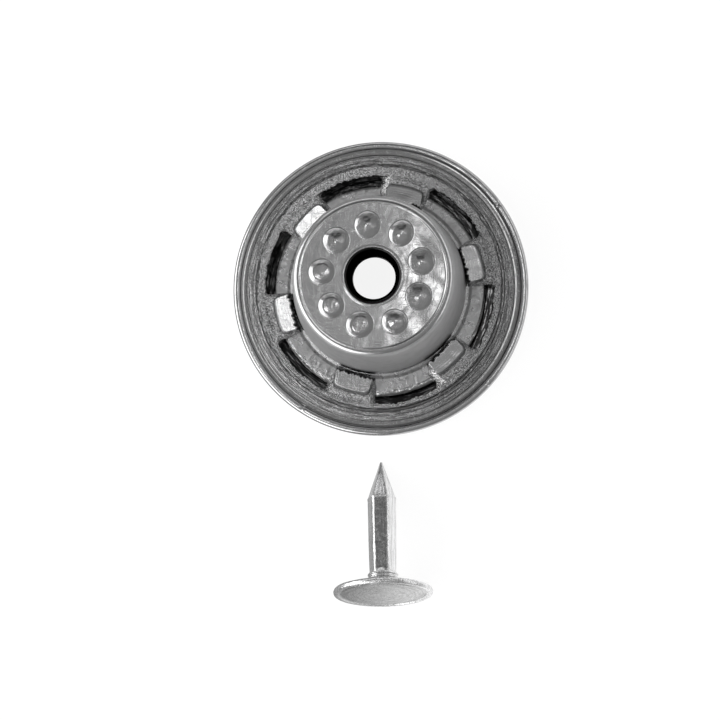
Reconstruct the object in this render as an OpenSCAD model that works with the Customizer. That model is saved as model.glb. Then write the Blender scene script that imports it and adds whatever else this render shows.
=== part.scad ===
// Jeans button: a cast ring cap with an open centre, a pressed shank clamped in its back by six
// claws, and the tack that goes with it. The button lies on its front, with its axis along Z.
// The tack lies beside it along Y, resting on the edge of its flange and on its point.
// The origin is on the floor, in the middle of the space that both take.

/* [Cap] */
// Diameter of the cap over its rounded rim
cap_dia = 20; // [19.6:0.1:24]
// Height of the cast ring that carries the claws, from the front face
ring_height = 3.35; // [3.25:0.05:3.6]
// Diameter of the open centre at the front
opening_dia = 7.6; // [6.6:0.1:8.4]
// Radius of the big rounding between front face and rim
front_round = 2.2; // [1.8:0.1:2.3]
// Rounding where the front face turns into the open centre
opening_round = 0.9; // [0.5:0.05:1.1]
// Thickness of the wall that closes the front around the opening
front_wall = 1.3; // [1.15:0.05:1.6]
// Diameter of the pocket behind the front wall
pocket_dia = 12.6; // [11.6:0.1:12.9]
// Radius of the polished bead along the back of the rim
rim_bead = 0.3; // [0.2:0.02:0.36]
// Height of the top of that bead
rim_height = 2.92; // [2.84:0.02:3.1]
// Radius of the smooth hollow inside the bead
hollow_round = 0.34; // [0.2:0.02:0.4]
// How far the hollow and the bead run into each other
hollow_lap = 0.1; // [0.04:0.02:0.14]
// Height of the centre of the hollow above the top of the bead
hollow_lift = 0.06; // [0:0.02:0.1]
// Height of the rough step between the hollow and the claw ring
step_z = 2.8; // [2.7:0.02:2.86]
// Rounding where the claw ring rises from the step
ring_foot_round = 0.27; // [0.1:0.01:0.35]
// Width of the flat top of the claw ring
ring_width = 0.68; // [0.5:0.02:0.8]
// Rounding of the outer top edge of the claw ring
ring_edge = 0.12; // [0.06:0.01:0.2]
// Width of the slot between the flange of the shank and the claw ring
slot_width = 0.55; // [0.4:0.05:0.6]
// Depth of the slot below the seat of the shank
slot_depth = 0.45; // [0.2:0.05:0.7]

/* [Claws] */
// Number of claws
claw_count = 6; // [4:1:6]
// Direction of the first claw
claw_start = 14.6; // [0:0.1:60]
// Width of a claw where it leaves the claw ring
claw_root_width = 3.6; // [3.1:0.05:4]
// Width of the pressed pad of a claw
claw_pad_width = 2.36; // [1.8:0.02:2.6]
// Margin of the lower plate on each side of the pad, at the inner end
claw_margin = 0.16; // [0.06:0.02:0.24]
// Thickness of the lower plate over the flange
claw_plate = 0.3; // [0.2:0.02:0.34]
// Thickness of the claw at its pad
claw_thick = 0.58; // [0.46:0.02:0.7]
// How much higher the pad is at its inner end
claw_rise = 0.1; // [0:0.02:0.16]
// Distance of the outer edge of the pad inside the claw ring
pad_inset = 0.52; // [0.4:0.02:0.7]
// Width of the slope along the outer edge of the pad
pad_slope = 0.2; // [0.06:0.02:0.3]
// Rounding of the outer corners of the pad
pad_corner = 0.24; // [0.1:0.02:0.4]

/* [Shank] */
// Height of the flat back of the shank above the front face of the cap
shank_height = 8.3; // [7:0.1:9.5]
// Thickness of the pressed metal
shank_wall = 0.45; // [0.35:0.01:0.5]
// Diameter of the shank at its foot, where it leaves the flange
shank_foot_dia = 11.72; // [11.2:0.02:12]
// Diameter of the flange that the claws hold down
flange_dia = 13.9; // [13.7:0.05:14.2]
// Slope of the side wall
shank_draft = 8; // [3:0.5:10]
// Outer rounding of the shoulder
shoulder_round = 0.52; // [0.5:0.02:0.9]
// Outer rounding of the foot
foot_round = 0.36; // [0.2:0.02:0.45]
// How far the top of the flange lies below the top of the claw ring
flange_drop = 0.3; // [0.24:0.02:0.34]
// Play around and over the flange in the cap, and around the foot
flange_play = 0.03; // [0.01:0.01:0.05]

/* [Hole] */
// Diameter of the hole for the tack at its narrow end
hole_dia = 2.78; // [2.4:0.02:3]
// Depth of the turned-in collar, from the flat back
collar_depth = 1.6; // [1.4:0.05:2.2]
// Thickness of the collar at its end
collar_wall = 0.26; // [0.2:0.02:0.34]
// Length of the straight part of the hole
hole_land = 0.7; // [0.5:0.05:0.9]
// Widening of the hole between the straight part and the mouth
collar_flare = 0.26; // [0.1:0.02:0.34]
// Rounding of the mouth
mouth_round = 0.22; // [0.1:0.02:0.3]

/* [Bumps] */
// Number of raised bumps
bump_count = 9; // [5:1:9]
// Direction of the first bump
bump_start = 15.4; // [0:0.1:40]
// Radius of the circle through the bumps
bump_circle = 3.24; // [3.1:0.02:3.4]
// Radius of a bump where it leaves the flat back
bump_radius = 0.8; // [0.5:0.02:0.86]
// Height of a bump
bump_height = 0.3; // [0.15:0.01:0.4]

/* [Tack] */
// Diameter of the pin over its corners
pin_dia = 1.94; // [1.6:0.02:2.2]
// Number of flats pressed along the pin
pin_flats = 6; // [5:1:8]
// How far the flats cut into the round pin
flat_depth = 0.09; // [0.04:0.01:0.12]
// Length of the tack from the middle of its lip to the point
tack_length = 9.1; // [7.5:0.1:11]
// Length of the point
point_length = 2.67; // [2:0.05:3.2]
// Radius of the blunted end of the point
point_blunt = 0.1; // [0.06:0.01:0.15]
// Diameter of the flange of the tack
tack_flange_dia = 6.6; // [5.6:0.1:8]
// Thickness of the web of that flange
tack_web = 0.24; // [0.2:0.02:0.3]
// Radius of the rounded lip around that flange
tack_lip = 0.2; // [0.16:0.01:0.24]
// Diameter of the conical boss on the flange
boss_dia = 2.9; // [2.6:0.05:3.4]
// Height of the boss above the web
boss_height = 0.42; // [0.3:0.02:0.6]
// Number of ridges around the pin above the boss
ridge_count = 3; // [2:1:4]
// Spacing of the ridges
ridge_pitch = 0.24; // [0.2:0.01:0.3]
// How far a ridge stands out
ridge_height = 0.06; // [0.03:0.01:0.09]
// Rise of the outer face of the flange at its middle
head_rise = 0.12; // [0.04:0.01:0.16]

/* [Layout] */
// Space on the floor between the cap and the point of the tack
tack_gap = 1.75; // [0.5:0.05:6]
// How far the tack lies to the side of the button's middle, at its lip
tack_side = 0.26; // [-3:0.02:3]
// Turn of the tack on the floor
tack_turn = 2.5; // [-10:0.5:10]

/* [Hidden] */
$fn = 96;
eps = 0.01;
// A line that runs into a circle ends this far inside it, so that the two cross.
lap = 0.004;

cap_r = cap_dia / 2;
opening_r = opening_dia / 2;
pocket_r = pocket_dia / 2;
foot_r = shank_foot_dia / 2;
flange_r = flange_dia / 2;
hole_r = hole_dia / 2;
pin_r = pin_dia / 2;
tack_flange_r = tack_flange_dia / 2;

// The flange lies on the seat, a little below the top of the claw ring and under the claws.
flange_z = ring_height - flange_drop;
seat_z = flange_z - shank_wall;
claw_z = flange_z + flange_play;
claw_in_r = flange_r + flange_play;
slot_z = seat_z - slot_depth;
well_r = flange_r + slot_width;
ring_out_r = well_r + ring_width;
hollow_r = cap_r - 2 * rim_bead - hollow_round + hollow_lap;
pad_out_r = well_r - pad_inset;

// Side wall of the shank: a line with the draft, tangent to the shoulder circle.
function wall_at(z) = foot_r - (z - flange_z) * tan(shank_draft);
shoulder_z = shank_height - shoulder_round;
shoulder_r = wall_at(shoulder_z) - shoulder_round / cos(shank_draft);
foot_z = flange_z + foot_round;
foot_fillet_r = wall_at(foot_z) + foot_round / cos(shank_draft);
mouth_r = hole_r + collar_flare;
collar_end = shank_height - collar_depth;

// A bump is part of a sphere that cuts the flat back in the bump's edge circle.
bump_sphere = (bump_radius * bump_radius + bump_height * bump_height) / (2 * bump_height);
bump_z = shank_height + bump_height - bump_sphere;
dent_sphere = bump_sphere - shank_wall;

// The tack tips until the torus of its lip and the ball of its point both touch the floor.
lip_r = tack_flange_r - tack_lip;
ball_at = tack_length - point_blunt;
tack_tilt = acos((point_blunt - tack_lip) / norm([lip_r, ball_at])) - atan2(ball_at, lip_r);
lip_z = lip_r * cos(tack_tilt) + tack_lip;
tack_y = -cap_r - tack_gap - (ball_at * cos(tack_tilt) + point_blunt) * cos(tack_turn);

// Both pieces reach from the lip of the tack to the far side of the cap; the origin halves that.
tack_along_y = cos(tack_tilt) * cos(tack_turn);
lip_reach = lip_r * sqrt(1 - tack_along_y * tack_along_y) + tack_lip;
button_y = (lip_reach - tack_y - cap_r) / 2;

// Rectangle in a half section, given by its corners.
module block(r1, z1, r2, z2) {
    translate([r1, z1]) square([r2 - r1, z2 - z1]);
}

// Closed half section of the cast ring, radius along X and height along Y.
module cap_section() {
    difference() {
        union() {
            // front and rim, up to the middle of the bead
            difference() {
                block(opening_r, 0, cap_r, rim_height - rim_bead);
                difference() {
                    block(cap_r - front_round, -eps, cap_r + eps, front_round);
                    translate([cap_r - front_round, front_round]) circle(front_round);
                }
            }
            translate([cap_r - rim_bead, rim_height - rim_bead]) circle(rim_bead);
            // rough step, and the claw ring with its concave foot
            block(pocket_r, front_wall, hollow_r, step_z);
            block(pocket_r, front_wall, ring_out_r - ring_edge, ring_height);
            block(pocket_r, front_wall, ring_out_r, ring_height - ring_edge);
            translate([ring_out_r - ring_edge, ring_height - ring_edge]) circle(ring_edge);
            difference() {
                block(ring_out_r - eps, step_z - eps, ring_out_r + ring_foot_round, step_z + ring_foot_round);
                translate([ring_out_r + ring_foot_round, step_z + ring_foot_round]) circle(ring_foot_round);
            }
        }
        // smooth hollow inside the bead
        translate([hollow_r, rim_height + hollow_lift]) circle(hollow_round);
        // rounding into the open centre
        difference() {
            block(opening_r - eps, -eps, opening_r + opening_round, opening_round);
            translate([opening_r + opening_round, opening_round]) circle(opening_round);
        }
        // pocket behind the front wall, seat of the flange, and the slot around it
        block(opening_r - eps, front_wall, pocket_r, ring_height + eps);
        block(opening_r - eps, seat_z, well_r, ring_height + eps);
        block(claw_in_r, slot_z, well_r, ring_height + eps);
    }
}

// Space that the foot of the shank leaves free for a claw: its rounding plus the play.
module foot_space() {
    inner = foot_round - flange_play;
    translate([foot_fillet_r, foot_z]) circle(inner);
    block(foot_fillet_r - inner, foot_z, foot_fillet_r + eps, foot_z + 2);
    block(foot_fillet_r, claw_z, well_r, foot_z + 2);
}

// Half section of the lower plate of a claw: from the shank over the flange and the slot, into the ring.
module claw_plate_section() {
    embed_r = well_r + ring_width / 2;
    intersection() {
        foot_space();
        block(0, claw_z, well_r, claw_z + claw_plate);
    }
    block(claw_in_r, slot_z - eps, embed_r, claw_z + eps);
    polygon([
        [claw_in_r, claw_z],
        [embed_r, claw_z],
        [embed_r, ring_height - eps],
        [well_r, claw_z + claw_plate],
        [claw_in_r, claw_z + claw_plate]
    ]);
}

// Half section of the pad of a claw, with the slope along its outer edge.
module claw_pad_section() {
    top = claw_z + claw_thick;
    intersection() {
        foot_space();
        polygon([
            [0, claw_z],
            [0, top + claw_rise],
            [foot_fillet_r, top + claw_rise],
            [pad_out_r, top],
            [pad_out_r + pad_slope, claw_z + claw_plate - eps],
            [pad_out_r + pad_slope, claw_z]
        ]);
    }
}

// Outline of a claw's lower plate seen along Z, wider towards the ring.
module claw_plate_plan() {
    inner_width = claw_pad_width + 2 * claw_margin;
    polygon([
        [foot_r - foot_round, -inner_width / 2],
        [ring_out_r, -claw_root_width / 2],
        [ring_out_r, claw_root_width / 2],
        [foot_r - foot_round, inner_width / 2]
    ]);
}

// Outline of a pad seen along Z: straight sides, rounded outer corners.
module claw_pad_plan() {
    half = claw_pad_width / 2;
    corner_r = sqrt(pow(pad_out_r + pad_slope, 2) - pow(half, 2)) - pad_corner;
    block(foot_r - foot_round, -half, corner_r, half);
    block(corner_r - eps, -half + pad_corner, well_r, half - pad_corner);
    for (side = [-1, 1])
        translate([corner_r, side * (half - pad_corner)]) circle(pad_corner);
}

module each_claw() {
    for (k = [0 : claw_count - 1])
        rotate(claw_start + k * 360 / claw_count)
            linear_extrude(3 * ring_height) children();
}

module cap() {
    color("#8d8e90")
        translate([0, button_y, 0]) {
            rotate_extrude() cap_section();
            intersection() {
                rotate_extrude() claw_plate_section();
                each_claw() claw_plate_plan();
            }
            intersection() {
                rotate_extrude() claw_pad_section();
                each_claw() claw_pad_plan();
            }
        }
}

// Closed half section of the shank's outside, without the flange.
module shank_outline() {
    polygon([
        [0, seat_z],
        [wall_at(flange_z), seat_z],
        [wall_at(flange_z), flange_z],
        [shoulder_r + (shoulder_round - lap) * cos(shank_draft), shoulder_z + (shoulder_round - lap) * sin(shank_draft)],
        [shoulder_r, shoulder_z],
        [shoulder_r, shank_height],
        [0, shank_height]
    ]);
    translate([shoulder_r, shoulder_z]) circle(shoulder_round);
    // concave foot
    difference() {
        polygon([
            [wall_at(flange_z) - eps, flange_z - eps],
            [foot_fillet_r, flange_z - eps],
            [foot_fillet_r, flange_z],
            [foot_fillet_r - foot_round * cos(shank_draft), foot_z - foot_round * sin(shank_draft)],
            [wall_at(foot_z) - eps, foot_z - foot_round * sin(shank_draft)]
        ]);
        translate([foot_fillet_r, foot_z]) circle(foot_round);
    }
}

// Half section of the hollow inside the shank, one wall thickness in from the outline.
module shank_hollow() {
    inner_round = max(shoulder_round - shank_wall, 0.04);
    inner_z = shank_height - shank_wall;
    side = shank_wall / cos(shank_draft);
    inner_r = wall_at(inner_z - inner_round) - side - inner_round / cos(shank_draft);
    polygon([
        [0, seat_z - 1],
        [wall_at(seat_z - 1) - side, seat_z - 1],
        [inner_r + (inner_round - lap) * cos(shank_draft), inner_z - inner_round + (inner_round - lap) * sin(shank_draft)],
        [inner_r, inner_z - inner_round],
        [inner_r, inner_z],
        [0, inner_z]
    ]);
    translate([inner_r, inner_z - inner_round]) circle(inner_round);
    // flare towards the flange, round the same centre as the concave foot
    difference() {
        translate([wall_at(foot_z) - side - 0.2, seat_z - eps])
            square([foot_fillet_r - wall_at(foot_z) + side + 0.2, foot_round + shank_wall]);
        translate([foot_fillet_r, foot_z]) circle(foot_round + shank_wall);
        translate([wall_at(foot_z) - side, foot_z]) square(2);
    }
}

// Turned-in collar around the hole, with its rounded mouth; radius along X.
module collar_section() {
    top = shank_height;
    difference() {
        polygon([
            [hole_r, collar_end],
            [hole_r + collar_wall, collar_end],
            [hole_r + collar_wall, collar_end + hole_land],
            [mouth_r + shank_wall, top - shank_wall],
            [mouth_r + mouth_round + shank_wall, top - shank_wall],
            [mouth_r + mouth_round + shank_wall, top],
            [mouth_r, top],
            [mouth_r, top - mouth_round],
            [hole_r, collar_end + hole_land]
        ]);
        difference() {
            translate([mouth_r - eps, top - mouth_round]) square(mouth_round + eps);
            translate([mouth_r + mouth_round, top - mouth_round]) circle(mouth_round);
        }
    }
}

module bumps(radius) {
    for (k = [0 : bump_count - 1])
        rotate(bump_start + k * 360 / bump_count)
            translate([bump_circle, 0, bump_z]) sphere(radius);
}

// Pressed metal of flange, wall and flat back, turned round the axis.
module shank_section() {
    collar_out = mouth_r + mouth_round + shank_wall;
    difference() {
        union() {
            shank_outline();
            block(0, seat_z, flange_r - shank_wall / 2, flange_z);
            translate([flange_r - shank_wall / 2, seat_z + shank_wall / 2]) circle(shank_wall / 2);
        }
        shank_hollow();
        block(-eps, shank_height - shank_wall - eps, collar_out, shank_height + eps);
    }
    collar_section();
}

// Bumps pressed out of the flat back, and the dents behind them.
module shank() {
    color("#96979a")
        translate([0, button_y, 0])
            difference() {
                union() {
                    rotate_extrude() shank_section();
                    intersection() {
                        bumps(bump_sphere);
                        translate([0, 0, shank_height - shank_wall / 2])
                            cylinder(h = bump_height + shank_wall, r = shoulder_r);
                    }
                }
                intersection() {
                    bumps(dent_sphere);
                    translate([0, 0, bump_z])
                        cylinder(h = bump_sphere, r = shoulder_r);
                }
            }
}

// Pin of the tack: a round wire with a cone and a blunt end, and flats pressed along it like a pencil's.
module pin() {
    shoulder = tack_length - point_length;
    flats_from = tack_web / 2 + boss_height + ridge_count * ridge_pitch;
    half = atan2(pin_r - point_blunt, point_length - point_blunt);
    intersection() {
        rotate_extrude() {
            polygon([
                [0, 0],
                [pin_r, 0],
                [pin_r, shoulder],
                [point_blunt * cos(half), ball_at + point_blunt * sin(half)],
                [0, ball_at + point_blunt * sin(half)]
            ]);
            intersection() {
                translate([0, ball_at]) circle(point_blunt);
                block(0, ball_at, point_blunt, ball_at + point_blunt);
            }
        }
        union() {
            cylinder(h = flats_from, r = pin_dia);
            cylinder(h = tack_length + point_blunt, r = (pin_r - flat_depth) / cos(180 / pin_flats), $fn = pin_flats);
        }
    }
}

module tack_body() {
    pin();
    rotate_extrude() {
        // web, conical boss and lip of the flange
        polygon([
            [0, -tack_web / 2],
            [lip_r, -tack_web / 2],
            [lip_r, tack_web / 2],
            [boss_dia / 2, tack_web / 2],
            [pin_r, tack_web / 2 + boss_height],
            [0, tack_web / 2 + boss_height]
        ]);
        translate([lip_r, 0]) circle(tack_lip);
        // ridges around the pin
        for (k = [0 : ridge_count - 1])
            translate([pin_r, tack_web / 2 + boss_height + (k + 0.5) * ridge_pitch])
                circle(ridge_height);
    }
    // low dome on the outer face
    dome = (lip_r * lip_r + head_rise * head_rise) / (2 * head_rise);
    intersection() {
        translate([0, 0, -tack_web / 2 - head_rise + dome]) sphere(dome, $fn = 160);
        translate([0, 0, -tack_web / 2 - head_rise - eps])
            cylinder(h = head_rise + tack_web / 2, r = lip_r);
    }
}

module tack() {
    color("#c9cacc")
        translate([tack_side, tack_y + button_y, lip_z])
            rotate(tack_turn)
                rotate([-90 - tack_tilt, 0, 0])
                    tack_body();
}

cap();
shank();
tack();
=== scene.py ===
"""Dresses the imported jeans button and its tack: cast cap with folded claws, pressed shank, bright tack.

Shapes are worked out in millimetres round the button's own axis, or along the tack's own axis, and are
put in place in metres. Every piece carries the attribute "place", its own coordinates in millimetres,
which the finishes read.
"""

import math

import bpy
import numpy as np
from mathutils import Matrix, Vector


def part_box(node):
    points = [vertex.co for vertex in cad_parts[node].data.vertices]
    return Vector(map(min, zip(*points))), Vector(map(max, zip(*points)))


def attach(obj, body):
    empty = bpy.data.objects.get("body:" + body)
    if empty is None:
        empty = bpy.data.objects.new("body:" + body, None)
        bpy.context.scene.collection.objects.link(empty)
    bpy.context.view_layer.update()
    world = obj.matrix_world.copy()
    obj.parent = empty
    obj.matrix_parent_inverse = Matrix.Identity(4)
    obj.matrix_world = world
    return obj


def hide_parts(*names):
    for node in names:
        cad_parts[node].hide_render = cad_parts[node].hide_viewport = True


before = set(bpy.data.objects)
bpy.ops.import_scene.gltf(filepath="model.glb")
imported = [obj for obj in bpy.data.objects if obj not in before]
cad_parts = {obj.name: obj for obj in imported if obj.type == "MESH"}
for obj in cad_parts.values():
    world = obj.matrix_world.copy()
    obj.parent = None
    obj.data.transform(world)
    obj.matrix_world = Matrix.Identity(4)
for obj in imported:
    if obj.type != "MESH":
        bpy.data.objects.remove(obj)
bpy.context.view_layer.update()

MM = 0.001
low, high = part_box("shank")
BUTTON = np.array([0.5 * (low[0] + high[0]), 0.5 * (low[1] + high[1]), 0.0]) / MM

# Cap, in millimetres
CAP_R = 10.0
OPENING_R, OPENING_ROUND = 3.8, 0.9
FRONT_ROUND, FRONT_WALL, POCKET_R = 2.2, 1.3, 6.3
BEAD, RIM_Z = 0.3, 2.92
HOLLOW_R, HOLLOW_Z, HOLLOW_ROUND, HOLLOW_FLAT = 9.18, 2.98, 0.34, 0.34
STEP_Z, RING_FOOT = 2.8, 0.16
RING_Z, RING_IN, RING_OUT, RING_EDGE = 3.35, 7.5, 8.18, 0.12
SLOT_Z, SEAT_Z, SEAT_R = 2.15, 2.6, 6.98

# Claws
CLAWS, CLAW_START = 6, 14.6
CLAW_Z, PLATE, THICK, RISE = 3.08, 0.3, 0.58, 0.1
PAD_HALF, PAD_OUT, PAD_SLOPE, PAD_CORNER = 1.18, 6.98, 0.2, 0.24
TIP_R, ROOT_HALF, MARGIN, UNDER_R = 5.84, 1.8, 0.16, 6.7
# Claw by claw: the pad's lean outwards, its slope sideways, its two flanks' falls, and how far it is rubbed
CLAW_LEANS = (0.15, 0.1, -0.05, 0.12, 0.03, 0.12)
CLAW_TWISTS = (0.0, 0.01, 0.165, 0.093, 0.0, 0.01)
CLAW_FALLS = ((0.0, 0.35), (0.0, 0.75), (0.2, 0.0), (0.0, 0.0), (0.3, 0.3), (0.75, 0.0))
CLAW_RUBBED = (0.0, 0.15, 1.0, 1.0, 0.1, 0.0)
# How far the slots, the claws and the flange are shifted towards the tack, and two of them made larger
RING_DRIFT, RING_GROW, CLAW_DRIFT, FLANGE_DRIFT, FLANGE_GROW = 0.2, 0.25, 0.2, 0.265, 0.235

# Shank
SHANK_Z, SHEET, DRAFT = 8.3, 0.45, math.radians(8.0)
FOOT_R, FLANGE_R, FLANGE_Z = 5.86, 6.95, 3.05
SHOULDER, FOOT = 0.52, 0.2
HOLE_R, MOUTH_R, MOUTH, COLLAR_Z, LAND, COLLAR_WALL = 1.39, 1.65, 0.22, 6.7, 0.7, 0.26
BUMPS, BUMP_START, BUMP_CIRCLE, BUMP_R, BUMP_H = 9, 15.4, 3.24, 0.8, 0.3
# Bump by bump: height of the bell at its middle, up or down, and of the bell round it
BUMP_MIDDLES = (0.04, 0.03, 0.05, 0.04, -0.03, -0.04, -0.045, 0.01, 0.03)
BUMP_RINGS = (0.0, 0.004, 0.0, 0.006, 0.02, 0.016, 0.014, 0.012, 0.0)

# Tack
PIN_R, FLATS, FLAT_DEPTH = 0.97, 6, 0.09
LENGTH, POINT, BLUNT = 9.1, 2.67, 0.1
LIP_AT, LIP, WEB = 3.1, 0.2, 0.24
BOSS_R, BOSS_H = 1.45, 0.42
RIDGES, RIDGE_PITCH, RIDGE_H, HEAD_RISE = 3, 0.24, 0.06, 0.12
TACK_SIDE, TACK_GAP, TACK_TURN = 0.26, 1.75, math.radians(2.5)

# Steps round the axis of the turned pieces
CAP_TURNS, SHANK_TURNS, TACK_TURNS = 720, 470, 240

# Nicks in the rim: direction and width in degrees, depth in millimetres
RIM_NICKS = ((34.6, 0.5, 0.05), (237.5, 0.6, 0.07), (122.0, 0.4, 0.03), (318.0, 0.5, 0.03))

# Crescents rubbed into the flange: their directions in degrees, the circle they lie on, and their height
CRESCENTS = (222, 229, 236, 276, 284, 291, 97, 104, 40, 352)
CRESCENT_R, CRESCENT_H = 6.42, 0.046

# Zones of the finishes, as inner and outer radius in millimetres
SLOT_ZONE, RING_ZONE, FOOT_ZONE, STEP_ZONE = (6.85, 7.52), (5.5, 8.2), (8.22, 8.4), (8.45, 9.02)
GROOVE_ZONE, HOLLOW_ZONE, BEAD_ZONE = (8.62, 8.68), (8.95, 9.5), (9.5, 10.2)
BORE_ZONE, WALL_ZONE, FLANGE_ZONE, CORNER_ZONE = (1.2, 1.78), (5.05, 5.78), (5.95, 7.0), (6.06, 6.18)
FACE_ZONE = (0.0, 2.84)

# Heights between which the finishes of the cap's back and of the collar's bore set in
BACK_FROM, BACK_FULL = 2.5, 2.62
COLLAR_FROM, COLLAR_FULL = 6.2, 6.5

# Metals; the greys of dirt, clouding and streaks on them and of the tack's darker face; and the greys of
# painted shade in the cap's hollow, at the ring's foot, in the slots, round the claws' pads, at the wall's
# foot, on the flange's edge and in the bore
CAST_METAL, SHEET_METAL, TACK_METAL = (0.48, 0.48, 0.483), (0.46, 0.46, 0.463), (0.80, 0.80, 0.805)
CAST_DIRT_AND_SHADE, CLAW_SHADE_GREY, HOLLOW_SHADE_GREY, RING_FOOT_SHADE_GREY, SLOT_SHADE_BLACK = 0.11, 0.02, 0.25, 0.1, 0.015
SHEET_DULL, CORNER_SHADE_GREY, EDGE_SHADE_GREY, BORE_SHADE_BLACK, BORE_SHADE_TINT = 0.39, 0.12, 0.1, 0.022, 0.03
TACK_STREAK, TACK_FACE = 0.60, 0.36

# Sky as the metal sees it: azimuth and elevation in degrees, half width, half height and soft edge in sines,
# and strength; a patch of negative strength darkens
SKY_PATCHES = (
    (203, 12, 0.72, 0.4, 0.08, 2.6), (200, 71, 0.12, 0.05, 0.05, 3.6), (63, 81, 0.05, 0.07, 0.03, 2.9),
    (16, 67, 0.12, 0.06, 0.08, 0.5), (5, 20, 0.55, 0.12, 0.06, 1.3), (90, 18, 0.6, 0.12, 0.1, 0.8),
    (97, 54, 0.3, 0.12, 0.1, -0.26), (172, 68, 0.045, 0.15, 0.03, -0.4),
)
SKY_LEAST = 0.03

# Floor, in metres: half its side, how far it lies below the pieces, its own grey and its glow to the camera;
# then its glow to reflections, across and away from the middle: two distances and the level at each
FLOOR_HALF, FLOOR_DROP, FLOOR_GREY, FLOOR_GLOW = 0.6, 0.00002, 0.2, 0.88
GLOW_ACROSS, GLOW_AWAY = (-0.004, 0.003, 0.22, 1.0), (0.022, 0.034, 1.0, 0.1)

# Lamp, in metres and watts
LAMP_AT, LAMP_SIZE, LAMP_POWER = (-0.14, 0.02, 0.16), 0.12, 0.03

# Camera and the point it looks at, in millimetres from the button's foot, and its lens in pixels of its frame
CAMERA_AT, CAMERA_AIM = (6.89, -12.03, 90.0), (-1.389, -4.85, 2.0)
LENS_PIXELS, FRAME_PIXELS, SENSOR_WIDTH = 1307.1, 720, 36.0


# Curves and grids

def line(start, end, steps):
    """Points from start up to, but not at, end, in equal steps."""
    t = np.arange(steps)[:, None] / steps
    return np.array(start) * (1 - t) + np.array(end) * t


def arc(centre, radius, start, end, steps):
    """Points on a circle from angle start up to, but not at, angle end, in degrees."""
    a = np.radians(start + (end - start) * np.arange(steps) / steps)
    return np.stack([centre[0] + radius * np.cos(a), centre[1] + radius * np.sin(a)], axis=1)


def ease(t):
    """0 below 0, 1 above 1, and 3t^2 - 2t^3 between."""
    t = np.clip(t, 0.0, 1.0)
    return t * t * (3 - 2 * t)


def ripple(x, y, seed, size, waves=14):
    """Smooth random surface, about -1 to 1: a sum of plane cosine waves with random directions and phases,
    whose wavelengths lie between size and three times size."""
    rng = np.random.default_rng(seed)
    total = np.zeros(np.broadcast(x, y).shape)
    for _ in range(waves):
        k = 2 * math.pi / (size * rng.uniform(1.0, 3.0))
        turn = rng.uniform(0, 2 * math.pi)
        total += np.cos(k * (x * math.cos(turn) + y * math.sin(turn)) + rng.uniform(0, 2 * math.pi))
    return total / math.sqrt(waves)


def round_wave(angle, seed, low_count, high_count, waves=10):
    """Random wave round a circle, about -1 to 1: a sum of cosines of whole multiples of the angle."""
    rng = np.random.default_rng(seed)
    total = np.zeros_like(angle)
    for _ in range(waves):
        total += np.cos(rng.integers(low_count, high_count + 1) * angle + rng.uniform(0, 2 * math.pi))
    return total / math.sqrt(waves)


def piece(name, place, faces, node=None, to_row=None, masks=None, crease=40.0):
    """Mesh from points in the piece's own millimetres and a list of quads and triangles. to_row turns those
    points into the row's millimetres; the own points are kept as the attribute "place"."""
    row = (place + BUTTON if to_row is None else to_row(place)) * MM
    mesh = bpy.data.meshes.new(name)
    mesh.vertices.add(len(row))
    mesh.vertices.foreach_set("co", row.astype(np.float32).ravel())
    sizes = np.concatenate([np.full(len(f), f.shape[1]) for f in faces])
    corners = np.concatenate([f.ravel() for f in faces])
    mesh.loops.add(len(corners))
    mesh.loops.foreach_set("vertex_index", corners.astype(np.int32))
    mesh.polygons.add(len(sizes))
    starts = np.concatenate([[0], np.cumsum(sizes)[:-1]])
    mesh.polygons.foreach_set("loop_start", starts.astype(np.int32))
    mesh.update(calc_edges=True)
    mesh.validate()
    mesh.shade_smooth()
    mesh.set_sharp_from_angle(angle=math.radians(crease))
    own = mesh.attributes.new("place", "FLOAT_VECTOR", "POINT")
    own.data.foreach_set("vector", place.astype(np.float32).ravel())
    for mask, values in (masks or {}).items():
        layer = mesh.attributes.new(mask, "FLOAT", "POINT")
        layer.data.foreach_set("value", values.astype(np.float32).ravel())
    obj = bpy.data.objects.new(name, mesh)
    bpy.context.scene.collection.objects.link(obj)
    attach(obj, "root")
    if node:
        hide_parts(node)
    return obj


def turned_grid(profile, turns):
    """Radius, height and angle of a profile turned round the axis: a row for each of its points."""
    angle = np.arange(turns) * 2 * math.pi / turns
    radius = np.repeat(profile[:, :1], turns, axis=1)
    height = np.repeat(profile[:, 1:2], turns, axis=1)
    return radius, height, np.repeat(angle[None, :], len(profile), axis=0)


def turned_faces(rows, turns, closed):
    """Quads between neighbouring rows and columns; columns always close, rows close when closed is set.
    The corners run so that a profile drawn anticlockwise round its solid faces outwards."""
    count = rows if closed else rows - 1
    i, j = np.meshgrid(np.arange(count), np.arange(turns), indexing="ij")
    k, m = (i + 1) % rows, (j + 1) % turns
    return np.stack([i * turns + j, i * turns + m, k * turns + m, k * turns + j], axis=-1).reshape(-1, 4)


def turned_points(radius, height, angle):
    return np.stack([radius * np.cos(angle), radius * np.sin(angle), height], axis=-1).reshape(-1, 3)


# Cap

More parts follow.
